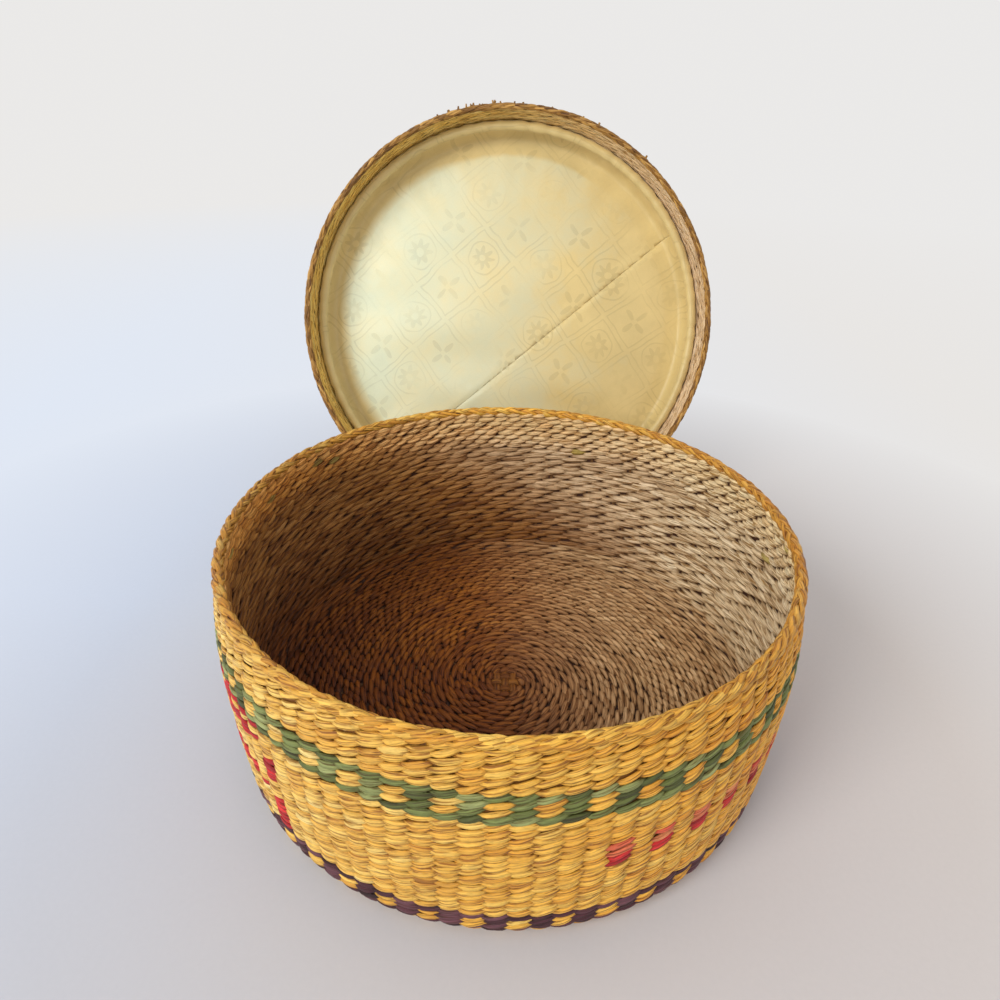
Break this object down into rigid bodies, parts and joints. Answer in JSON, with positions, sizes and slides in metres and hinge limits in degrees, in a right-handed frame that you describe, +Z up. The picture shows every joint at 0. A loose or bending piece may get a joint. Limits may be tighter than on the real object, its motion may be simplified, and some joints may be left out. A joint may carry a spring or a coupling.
{
  "type": "tortilla warmer",
  "caption": "Round twined straw basket with coloured bands, and a loose cap lid lined with padded cloth that keeps tortillas warm.",
  "frame": {"origin": "middle of the basket's flat underside, on the surface that it stands on", "axes": "+Z up; +Y towards the back, where the lid stands; +X to the right seen from the front"},
  "size_m": [0.2972, 0.4357, 0.2914],
  "materials": {
    "straw_outer": "golden twined straw, satin, tone varies from strand to strand",
    "straw_inner": "paler beige twined straw, matte",
    "stake_straw": "stiff split straw, matte",
    "straw_green": "straw dyed a muted green",
    "straw_purple": "straw dyed dark purple",
    "straw_red": "straw dyed red",
    "lining_cloth": "cream and gold tone-on-tone damask with a soft sheen",
    "wadding": "soft polyester wadding"
  },
  "bodies": {
    "basket": {"floor_weave_lower": "straw_outer", "floor_weave_upper": "straw_inner", "floor_cross": "stake_straw", "floor_spokes": "stake_straw", "foot_turn_weave_outer": "straw_outer", "foot_turn_weave_inner": "straw_inner", "purple_band": "straw_purple", "wall_weave_lower": "straw_outer", "green_band": "straw_green", "wall_weave_upper": "straw_outer", "wall_weave_inner_lower": "straw_inner", "wall_weave_inner_upper": "straw_inner", "side_stakes": "stake_straw", "rim_border": "straw_outer"},
    "lid": {"lid_cross": "stake_straw", "lid_spokes": "stake_straw", "lid_top_weave_outer": "straw_outer", "lid_top_weave_inner": "straw_inner", "lid_shoulder_weave_outer": "straw_outer", "lid_shoulder_weave_inner": "straw_inner", "lid_side_weave_outer": "straw_outer", "lid_side_weave_inner": "straw_inner", "lid_stakes": "stake_straw", "lid_lip_border": "straw_outer", "lining_wadding": "wadding", "lining_cloth_large": "lining_cloth", "lining_cloth_small": "lining_cloth", "lining_hem": "lining_cloth"}
  },
  "joints": [
    {"name": "lid_turn", "type": "hinge", "parent": "basket", "child": "lid", "pos_m": [0, 0.12314, 0.04819], "axis": [1, 0, 0], "range_deg": [0, 107.5]}
  ]
}
